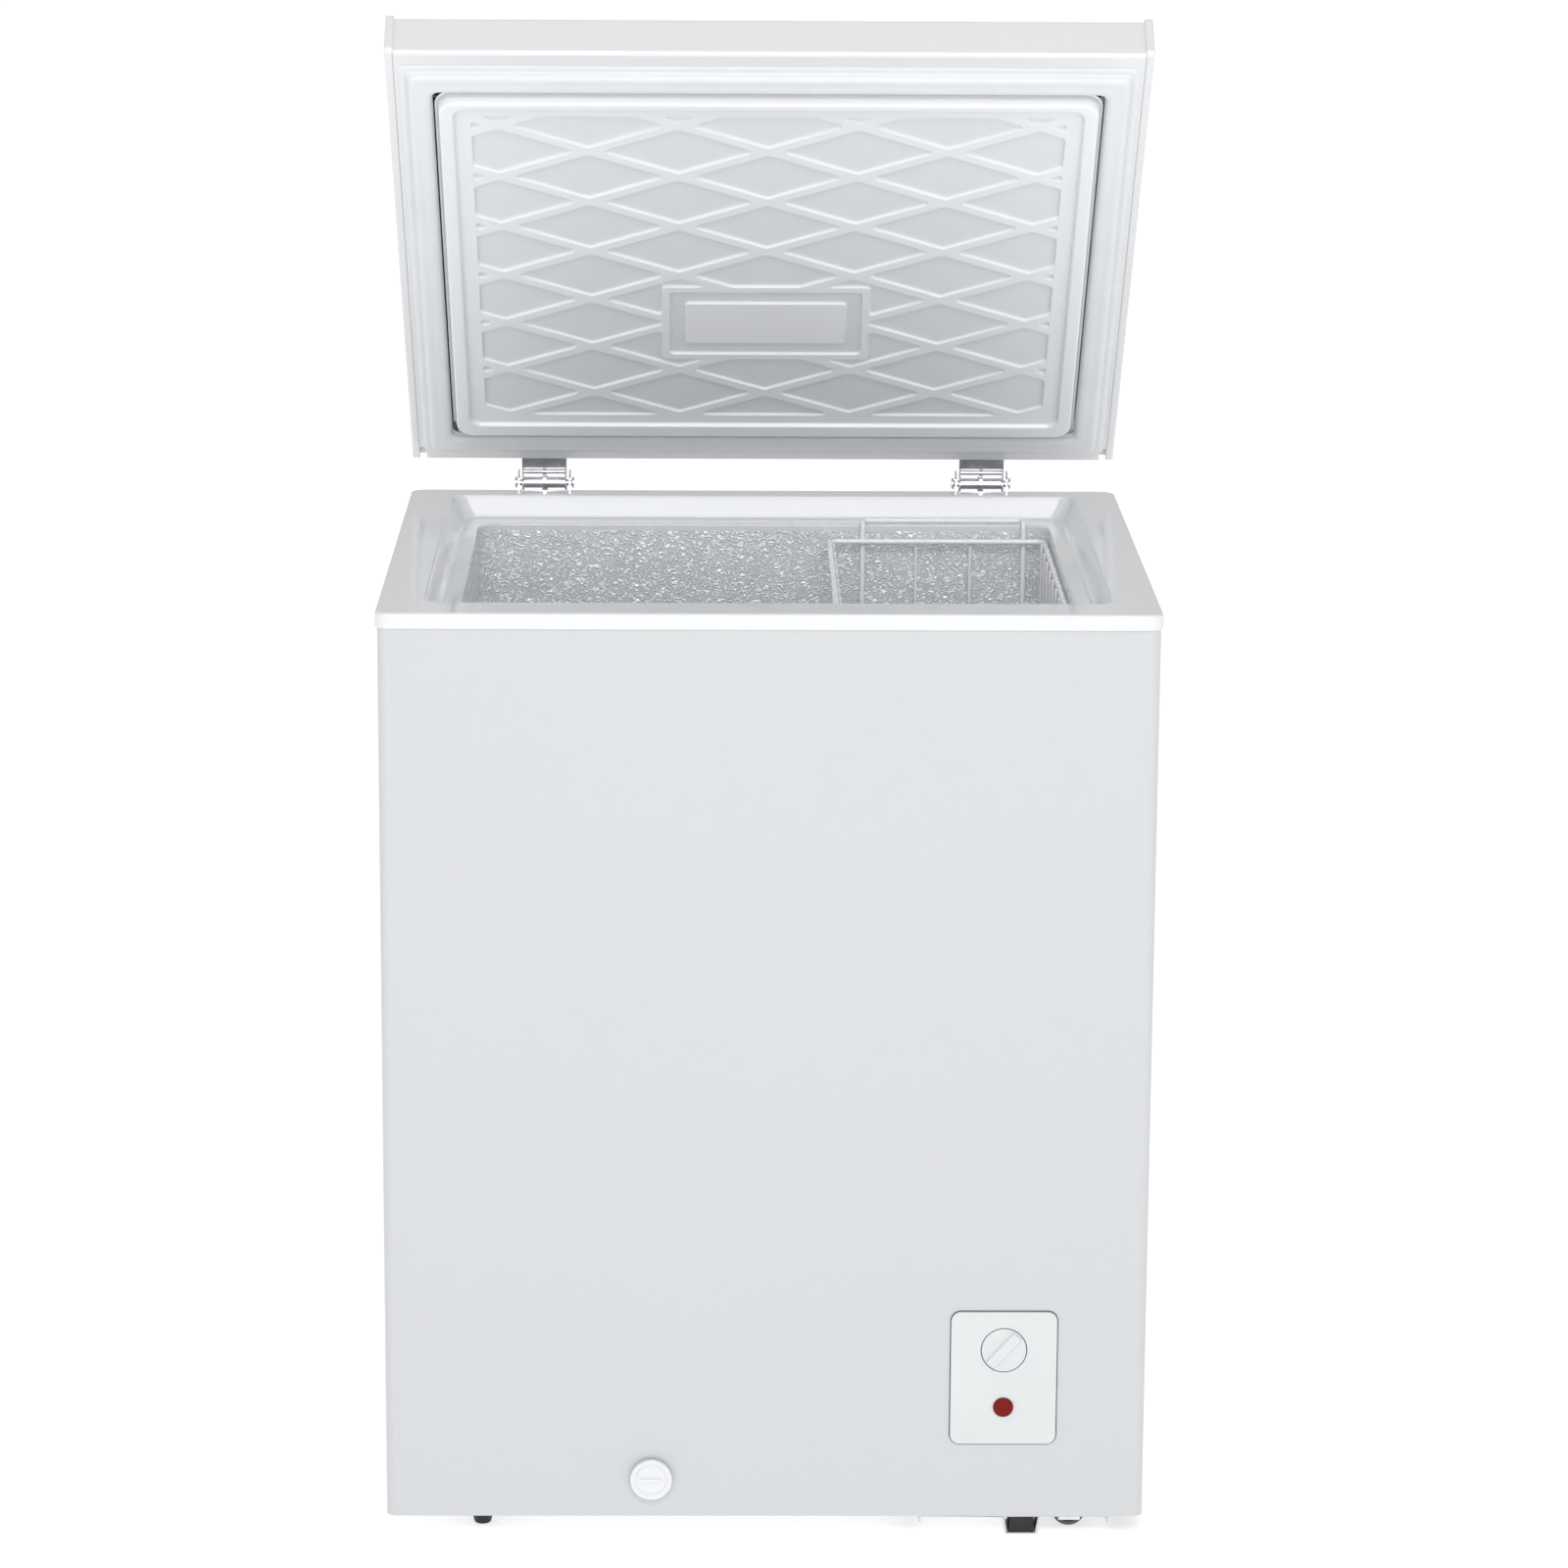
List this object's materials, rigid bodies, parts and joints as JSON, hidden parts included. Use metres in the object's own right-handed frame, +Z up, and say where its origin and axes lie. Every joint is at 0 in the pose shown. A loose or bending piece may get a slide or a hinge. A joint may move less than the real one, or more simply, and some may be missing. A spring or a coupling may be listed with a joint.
{
  "type": "chest freezer",
  "caption": "Small chest freezer with hinged insulated lid, hanging wire basket, thermostat panel, front drain, feet and rollers, rear machine bay.",
  "frame": {"origin": "on the floor, under the middle of the cabinet's footprint", "axes": "+Z up; -Y out of the front, where the control panel is; +X to the right seen from the front; the lid is hinged along X at the back (+Y)"},
  "size_m": [0.632, 0.5884, 1.2361],
  "materials": {
    "black_paint": "gloss",
    "black_plastic": "matte",
    "black_rubber": "matte",
    "coated_wire": "gloss",
    "copper": "satin",
    "embossed_aluminium": "embossed",
    "foam": "matte",
    "grey_plastic": "matte",
    "grey_steel": "satin",
    "lid_plastic": "satin",
    "panel_plastic": "matte",
    "red_lens": "gloss",
    "seal_rubber": "matte",
    "tube_aluminium": "satin",
    "white_plastic": "gloss",
    "white_steel": "satin",
    "zinc_plate": "polished"
  },
  "bodies": {
    "cabinet": {"cabinet_shell": "white_steel", "back_panel": "grey_steel", "bottom_panel": "grey_steel", "bay_liner": "grey_steel", "inner_liner": "embossed_aluminium", "collar_frame": "white_plastic", "insulation": "foam", "evaporator_coil": "tube_aluminium", "condenser_coil": "grey_steel", "base_tray": "grey_steel", "skid_pad": "black_rubber", "compressor": "black_paint", "compressor_grommets": "black_rubber", "compressor_bolts": "zinc_plate", "relay_cover": "black_plastic", "filter_drier": "copper", "suction_line": "copper", "discharge_line": "copper", "liquid_line": "copper", "capillary_tube": "copper", "process_tube": "copper", "compressor_cover": "grey_steel", "cover_screws": "zinc_plate", "cord_gland": "black_plastic", "control_panel": "panel_plastic", "thermostat_body": "grey_plastic", "thermostat_bulb": "copper", "lamp_holder": "grey_plastic", "indicator_lens": "red_lens", "drain_tube": "white_plastic", "levelling_feet": "black_rubber", "roller_brackets": "zinc_plate", "roller_axles": "grey_steel", "hinge_bases": "zinc_plate", "hinge_base_screws": "zinc_plate", "hinge_pins": "zinc_plate", "hinge_springs": "grey_steel"},
    "lid": {"lid_frame": "white_plastic", "lid_side_trims": "white_plastic", "lid_skin": "white_steel", "lid_foam": "foam", "lid_liner": "lid_plastic", "lid_gasket": "seal_rubber", "hinge_leaves": "zinc_plate", "leaf_screws": "zinc_plate", "hinge_tail_pins": "zinc_plate"},
    "spring_rods": {"spring_rods": "zinc_plate"},
    "knob": {"control_knob": "panel_plastic", "thermostat_shaft": "grey_steel"},
    "spout": {"drain_spout": "white_plastic"},
    "cap": {"drain_cap": "white_plastic"},
    "plug": {"drain_plug": "seal_rubber"},
    "roller_front": {"roller_front": "grey_plastic"},
    "roller_rear": {"roller_rear": "grey_plastic"},
    "basket": {"basket_rim": "coated_wire", "basket_hanger": "coated_wire", "basket_long_wires": "coated_wire", "basket_cross_wires": "coated_wire", "basket_belt": "coated_wire"}
  },
  "joints": [
    {"name": "lid_hinge", "type": "hinge", "parent": "cabinet", "child": "lid", "pos_m": [0, 0.292, 0.7853], "axis": [-1, 0, 0], "range_deg": [-48.6, 26.4]},
    {"name": "spring_rod_slide", "type": "slide", "parent": "cabinet", "child": "spring_rods", "axis": [0, 0, 1], "range_m": [-0.0054, 0.0097], "deforming": ["hinge_springs"]},
    {"name": "thermostat_turn", "type": "hinge", "parent": "cabinet", "child": "knob", "pos_m": [0.1965, -0.268, 0.163], "axis": [0, 1, 0], "range_deg": [-60, 240]},
    {"name": "spout_pull", "type": "slide", "parent": "cabinet", "child": "spout", "axis": [0, -1, 0], "range_m": [0, 0.03]},
    {"name": "cap_twist", "type": "hinge", "parent": "spout", "child": "cap", "pos_m": [-0.0944, -0.272, 0.0504], "axis": [0, -1, 0], "range_deg": [0, 90]},
    {"name": "plug_lift", "type": "slide", "parent": "cabinet", "child": "plug", "axis": [0, 0, 1], "range_m": [0, 0.03]},
    {"name": "roller_front_spin", "type": "hinge", "parent": "cabinet", "child": "roller_front", "pos_m": [0.254, -0.24, 0.014], "axis": [0, 1, 0], "continuous": true},
    {"name": "roller_rear_spin", "type": "hinge", "parent": "cabinet", "child": "roller_rear", "pos_m": [0.254, 0.24, 0.014], "axis": [0, 1, 0], "continuous": true},
    {"name": "basket_slide", "type": "slide", "parent": "cabinet", "child": "basket", "axis": [-1, 0, 0], "range_m": [0, 0.3]}
  ],
  "couplings": [
    {"joint": "spring_rod_slide", "follows": "lid_hinge", "m_per_rad": -0.01117}
  ]
}
